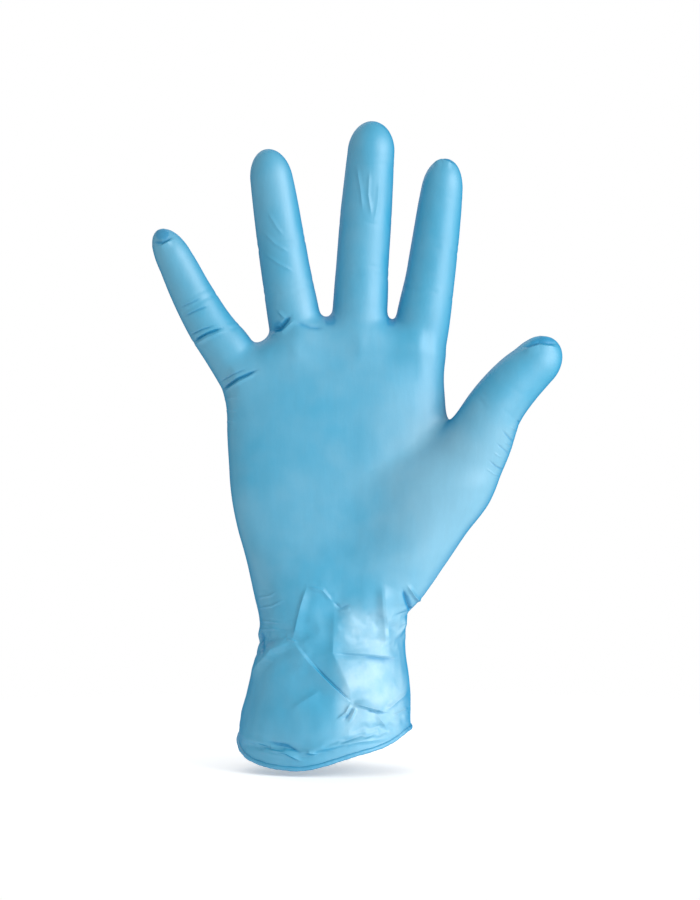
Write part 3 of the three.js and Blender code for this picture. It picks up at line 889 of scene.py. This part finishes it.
def on_digit(digit):
    """A test of whether points lie nearer to this digit than to any other."""
    others = [d for d in digits if d is not digit]

    def test(p):
        mine = digit.limb.distance(p)
        away = [np.where(d.station(p) > d.stops[0] - ROOT_REACH, d.limb.distance(p), FAR) for d in others]
        return (mine < ON_LIMB) & (mine <= np.min(away, axis=0))

    return test


slice_film(np.array([0, 0, SLEEVE_TOP]), UP)
slice_film(np.array([0, 0, WRIST_TOP]), UP)
slice_film(fold_start, fold_dir)
for digit in digits:
    for stop in digit.stops[:-1]:
        slice_film(digit.point(stop), digit.along, on_digit(digit))

film.normal_update()
co, normals = of_film("co"), of_film("normal")
shade = np.array([v[shade_layer] for v in film.verts])
faces = [[v.index for v in f.verts] for f in film.faces]
open_edge = sorted({v.index for e in film.edges if e.is_boundary for v in e.verts})
centre = np.array([f.calc_center_median() for f in film.faces])
film.free()

owner = np.full(len(faces), "palm_shell", dtype="U16")
height = centre[:, 2]
owner[(centre - fold_at) @ fold_dir > FOLD_START] = "knuckle_band"
owner[height < WRIST_TOP] = "wrist_band"
owner[height < SLEEVE_TOP] = "cuff_sleeve"
for digit in digits:
    beyond = digit.station(centre) > digit.stops[0]
    beyond[beyond] = on_digit(digit)(centre[beyond])
    s = digit.station(centre)
    for k, part in enumerate(digit.parts):
        owner[beyond & (s > digit.stops[k])] = f"{digit.name}_{part}"


def store_rest(mesh, points):
    """Keeps each vertex's place at rest, on which the material's patterns are laid."""
    rest = mesh.attributes.new("rest", "FLOAT_VECTOR", "POINT")
    rest.data.foreach_set("vector", points.astype(np.float32).ravel())


def film_piece(name, faces):
    """A closed sheet of film: the faces, a copy of them just inside, and walls along the cut edges."""
    used = np.unique(np.concatenate(faces))
    renumber = {v: i for i, v in enumerate(used)}
    n = len(used)
    outer = [[renumber[v] for v in f] for f in faces]
    inner = [[v + n for v in reversed(f)] for f in outer]
    seen = {}
    for f in outer:
        for a, b in zip(f, f[1:] + f[:1]):
            seen[a, b] = seen.get((a, b), 0) + 1
    walls = [[b, a, a + n, b + n] for a, b in seen if (b, a) not in seen]
    outside, across = co[used], normals[used]
    points = np.concatenate([outside, outside - FILM * across])
    mesh = bpy.data.meshes.new(name)
    mesh.from_pydata([tuple(p) for p in to_row(points).tolist()], [], outer + inner + walls)
    mesh.polygons.foreach_set("use_smooth", [True] * len(mesh.polygons))
    corners = np.empty(len(mesh.loops), np.int32)
    mesh.loops.foreach_get("vertex_index", corners)
    loop_normals = np.concatenate([across, -across])[corners]
    first_wall = len(outer) + len(inner)
    for k, (b, a, _, _) in enumerate(walls):
        start = mesh.polygons[first_wall + k].loop_start
        loop_normals[start:start + 4] = unit(np.cross(points[b] - points[a], across[a]))
    mesh.normals_split_custom_set(loop_normals.tolist())
    store_rest(mesh, points)
    # The painted shade, per vertex.
    dark = mesh.attributes.new("shade", "FLOAT", "POINT")
    dark.data.foreach_set("value", np.tile(shade[used], 2).astype(np.float32))
    return placed(name, mesh)


pieces = {}
for name in sorted(set(owner)):
    pieces[name] = film_piece(f"film_{name}", [faces[i] for i in np.flatnonzero(owner == name)])
    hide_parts(name)

# ---------------- the rolled bead

loop = co[open_edge]
loop = loop[np.argsort(np.arctan2(loop[:, 1] - rim_centre[1], loop[:, 0] - rim_centre[0]))]
BEAD_STEPS, BEAD_SIDES = 420, 12
BEAD_INSET = 0.15
gone = np.r_[0, np.cumsum(np.linalg.norm(np.diff(np.vstack([loop, loop[:1]]), axis=0), axis=1))]
at = np.linspace(0, gone[-1], BEAD_STEPS, endpoint=False)
path = np.stack([np.interp(at, gone, np.r_[loop[:, k], loop[0, k]]) for k in range(3)], 1)
for _ in range(3):
    path = (np.roll(path, 1, 0) + 2 * path + np.roll(path, -1, 0)) / 4
ahead = unit_rows(np.roll(path, -1, 0) - np.roll(path, 1, 0))
outward = unit_rows(np.cross(ahead, rim_normal))
turn = 2 * math.pi * np.arange(BEAD_SIDES) / BEAD_SIDES
bead_r = BEAD * (1 + 0.06 * np.sin(at * 0.9) + 0.04 * np.sin(at * 2.3 + 1))
ring = (path - BEAD_INSET * outward)[:, None] + bead_r[:, None, None] * (
    np.cos(turn)[None, :, None] * outward[:, None] + np.sin(turn)[None, :, None] * rim_normal)
index = np.arange(BEAD_STEPS * BEAD_SIDES).reshape(BEAD_STEPS, BEAD_SIDES)
next_ring = np.roll(index, -1, 0)
corners = [index, np.roll(index, -1, 1), np.roll(next_ring, -1, 1), next_ring]
bead_faces = np.stack(corners, -1).reshape(-1, 4)
bead_mesh = mesh_of("bead", to_row(ring.reshape(-1, 3)), bead_faces)
bead_mesh.polygons.foreach_set("use_smooth", [True] * len(bead_mesh.polygons))
store_rest(bead_mesh, ring)
bead = placed("bead_cuff", bead_mesh)
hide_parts("cuff_bead")

# ---------------- materials

def nodes_of(owner):
    owner.use_nodes = True
    tree = owner.node_tree
    tree.nodes.clear()
    return tree


def add(tree, kind, inputs=None, **settings):
    """A node with its settings; inputs are values, or outputs of other nodes to link."""
    node = tree.nodes.new("ShaderNode" + kind)
    for key, value in settings.items():
        setattr(node, key, value)
    for key, value in (inputs or {}).items():
        if isinstance(value, bpy.types.NodeSocket):
            tree.links.new(value, node.inputs[key])
        else:
            node.inputs[key].default_value = value
    return node


def maths(tree, operation, a, b=0.0, clamp=False):
    return add(tree, "Math", {0: a, 1: b}, operation=operation, use_clamp=clamp).outputs[0]


def stretch(tree, value, low, high, to_low=0.0, to_high=1.0):
    """value's range low..high mapped smoothly to to_low..to_high."""
    limits = {"From Min": low, "From Max": high, "To Min": to_low, "To Max": to_high}
    return add(tree, "MapRange", {"Value": value, **limits}, interpolation_type="SMOOTHSTEP").outputs[0]


def mixed(tree, share, a, b):
    """Colour a, going to b as share goes to 1."""
    return add(tree, "Mix", {0: share, 6: a, 7: b}, data_type="RGBA").outputs[2]


def grain(tree, where, scale, detail=2.0, squash=(1, 1, 1)):
    """Noise at a scale in cycles per millimetre of film, about 0.5 on average."""
    mapping = add(tree, "Mapping", {"Vector": where, "Scale": squash}).outputs[0]
    return add(tree, "TexNoise", {"Vector": mapping, "Scale": scale, "Detail": detail}).outputs["Fac"]


# The film is drawn thin and goes milky over the ball of the thumb and the palm beside it, and it is also a
# painted highlight there, where the key light falls.
DRAWN_LIT_X, DRAWN_LIT_Z = (4.0, 44.0), (146.0, 114.0)
# A painted highlight, a white sheen where the key light falls on the cuff's slack facet: limits in x, and in
# z from below and from above.
FACET_X, FACET_LOW, FACET_HIGH = (-1.0, 8.0), (8.0, 26.0), (68.0, 50.0)
# The colours of the painted highlight on the cuff's facet and of the painted shade.
PAINTED_SHEEN, SHADED = (0.30, 0.53, 0.66, 1), (0.0, 0.19, 0.42, 1)


def film_material(name, body, deep, milky_and_lit):
    """Dipped nitrile: deep where it turns away, milky where it is stretched thin, with a satin sheen; a
    painted highlight over the ball of the thumb and on the cuff's facet, and painted shade in creases and
    hollows.
    """
    mat = bpy.data.materials.new(name)
    tree = nodes_of(mat)

    def times(a, b):
        return maths(tree, "MULTIPLY", a, b)

    where = add(tree, "Attribute", attribute_name="rest").outputs["Vector"]
    turned = add(tree, "LayerWeight", {"Blend": 0.5}).outputs["Facing"]
    patches = stretch(tree, grain(tree, where, 0.022, 3.0), 0.38, 0.66)
    cloudy = stretch(tree, grain(tree, where, 0.11, 4.0), 0.3, 0.75)
    streaks = grain(tree, where, 0.35, 3.0, (1, 1, 0.25))
    specks = grain(tree, where, 2.2, 2.0)
    place = add(tree, "SeparateXYZ", {0: where})
    x, y, z = (place.outputs[k] for k in "XYZ")
    # Partly painted highlight: the ball of the thumb and the palm beside it, where the key light falls, go
    # milky.
    drawn_and_lit = times(stretch(tree, x, *DRAWN_LIT_X), stretch(tree, z, *DRAWN_LIT_Z))
    drawn_and_lit = times(drawn_and_lit, stretch(tree, y, 4.0, -8.0))
    thin_and_lit = maths(tree, "ADD", times(patches, 0.35), times(cloudy, 0.2))
    thin_and_lit = maths(tree, "ADD", thin_and_lit, times(drawn_and_lit, 0.9), clamp=True)
    colour = mixed(tree, thin_and_lit, body, milky_and_lit)
    # Painted highlight: the cuff's slack facet is whitened, mottled.
    painted_sheen_mask = times(stretch(tree, x, *FACET_X), stretch(tree, y, 2.0, -8.0))
    between = times(stretch(tree, z, *FACET_LOW), stretch(tree, z, *FACET_HIGH))
    painted_sheen_mask = times(painted_sheen_mask, between)
    painted_sheen_mask = times(painted_sheen_mask, stretch(tree, cloudy, 0.0, 1.0, 0.35, 0.85))
    colour = mixed(tree, painted_sheen_mask, colour, PAINTED_SHEEN)
    colour = mixed(tree, stretch(tree, turned, 0.30, 0.92), colour, deep)
    # Painted shade: creases and hollows are darkened towards the shaded colour.
    shade = add(tree, "Attribute", attribute_name="shade").outputs["Fac"]
    colour = mixed(tree, shade, colour, SHADED)
    darker = add(tree, "HueSaturation", {
        "Value": stretch(tree, streaks, 0.25, 0.75, 0.98, 1.02), "Color": colour}).outputs[0]
    mottled = times(cloudy, 0.08)
    speckled = times(specks, 0.08)
    roughness = maths(tree, "ADD", maths(tree, "ADD", mottled, speckled), 0.44)
    fine = add(tree, "Bump", {"Strength": 0.10, "Distance": 0.00012, "Height": specks}).outputs[0]
    soft = add(tree, "Bump", {"Strength": 0.12, "Distance": 0.0005, "Height": streaks,
                                        "Normal": fine}).outputs[0]
    sheen = stretch(tree, turned, 0.28, 0.85, 1.0, 0.07)
    sheen = times(sheen, stretch(tree, shade, 0.0, 0.8, 1.0, 0.25))
    bsdf = add(tree, "BsdfPrincipled", {
        "Base Color": darker, "Roughness": roughness, "Specular IOR Level": sheen,
        "Coat Weight": times(sheen, 0.7), "Coat Roughness": 0.58, "Normal": soft,
        "Coat Normal": soft})
    add(tree, "OutputMaterial", {"Surface": bsdf.outputs[0]})
    return mat


# Each look: the film's own colour, where it turns away, and where it is stretched thin, which is also the
# painted highlight's colour over the ball of the thumb.
FILM_COLOURS = (0.004, 0.305, 0.51, 1), (0.0, 0.23, 0.435, 1), (0.13, 0.395, 0.56, 1)
BEAD_COLOURS = (0.002, 0.28, 0.49, 1), (0.0, 0.21, 0.42, 1), (0.05, 0.33, 0.53, 1)
film_look = film_material("nitrile_film", *FILM_COLOURS)
bead_look = film_material("rolled_bead", *BEAD_COLOURS)
for obj in pieces.values():
    obj.data.materials.append(film_look)
bead.data.materials.append(bead_look)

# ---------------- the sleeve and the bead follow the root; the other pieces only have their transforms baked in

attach(pieces["cuff_sleeve"], "root")
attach(bead, "root")


def bend(piece, start, end):
    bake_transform(piece)


bend(pieces["wrist_band"], [0, 0, SLEEVE_TOP], [0, 0, WRIST_TOP])
bend(pieces["palm_shell"], [0, 0, WRIST_TOP], [0, 0, PALM_FIRM])
bend(pieces["knuckle_band"], fold_start, fold_end)
for digit in digits:
    for k, part in enumerate(digit.parts):
        bend(pieces[f"{digit.name}_{part}"],
             digit.point(digit.stops[k]), digit.point(digit.stops[k + 1]))

# ---------------- floor, lights and camera

FLOOR_BELOW = 0.0006  # metres, like every length from here on
FLOOR_RADIUS, FLOOR_FADE = 0.6, (0.05, 0.34)


def soft_floor(z):
    """A white card that catches a soft shadow and fades out around the object."""
    centre = (0, 0.013, z)
    bpy.ops.mesh.primitive_circle_add(vertices=96, radius=FLOOR_RADIUS, fill_type="NGON", location=centre)
    floor = bpy.context.object
    floor.name = "floor"
    mat = bpy.data.materials.new("floor")
    tree = nodes_of(mat)
    spot = add(tree, "TexCoord").outputs["Object"]
    away = add(tree, "VectorMath", {0: spot}, operation="LENGTH").outputs["Value"]
    mottle = add(tree, "TexNoise", {"Vector": spot, "Scale": 9.0, "Detail": 2.0}).outputs["Fac"]
    tone = mixed(tree, stretch(tree, mottle, 0.3, 0.7), (0.90, 0.90, 0.905, 1), (0.93, 0.93, 0.93, 1))
    card = add(tree, "BsdfPrincipled", {"Base Color": tone, "Roughness": 0.8, "Emission Color": tone,
                                                  "Emission Strength": 0.3})
    clear = add(tree, "BsdfTransparent")
    gone = stretch(tree, away, *FLOOR_FADE)
    fade = add(tree, "MixShader", {0: gone, 1: card.outputs[0], 2: clear.outputs[0]})
    add(tree, "OutputMaterial", {"Surface": fade.outputs[0]})
    floor.data.materials.append(mat)
    return floor


def studio(front, back):
    """White behind the object, and soft light that comes mostly from the camera's side."""
    world = bpy.data.worlds.new("studio")
    bpy.context.scene.world = world
    tree = nodes_of(world)
    way = add(tree, "TexCoord").outputs["Generated"]
    y = add(tree, "SeparateXYZ", {0: way}).outputs["Y"]
    lit = add(tree, "Background", {"Strength": stretch(tree, y, 0.7, -0.7, back, front)})
    seen = add(tree, "Background", {"Strength": 1.0})
    for background in (lit, seen):
        background.inputs["Color"].default_value = (1, 1, 1, 1)
    ray = add(tree, "LightPath").outputs["Is Camera Ray"]
    both = add(tree, "MixShader", {0: ray, 1: lit.outputs[0], 2: seen.outputs[0]})
    add(tree, "OutputWorld", {"Surface": both.outputs[0]})


def area_light(name, azimuth, elevation, distance, size, power, aim=(0, 0.01, 0.02)):
    """A soft box; azimuth 0 is the camera's side and 90 the thumb's side."""
    data = bpy.data.lights.new(name, "AREA")
    data.size = size
    data.energy = power
    obj = placed(name, data)
    a, e = math.radians(azimuth), math.radians(elevation)
    out = Vector((math.sin(a) * math.cos(e), -math.cos(a) * math.cos(e), math.sin(e)))
    obj.location = Vector(aim) + distance * out
    obj.rotation_euler = out.to_track_quat("Z", "Y").to_euler()


soft_floor(float(cad_lo.z) - FLOOR_BELOW)
studio(front=0.70, back=0.56)
area_light("key", azimuth=54, elevation=12, distance=1.0, size=0.75, power=9.6)
area_light("back", azimuth=195, elevation=35, distance=1.0, size=0.9, power=3.8)
bpy.context.scene.view_settings.view_transform = "Standard"

CAMERA_X, CAMERA_Z, CAMERA_AWAY = 0.0043, 0.0115, 1.0
camera_data = bpy.data.cameras.new("camera")
camera_data.sensor_width = 36
camera_data.lens = 108
camera = placed("camera", camera_data)
camera.location = (CAMERA_X, float(BASE[1]) * MM - CAMERA_AWAY, CAMERA_Z)
camera.rotation_euler = (math.radians(90), 0, 0)
bpy.context.scene.camera = camera
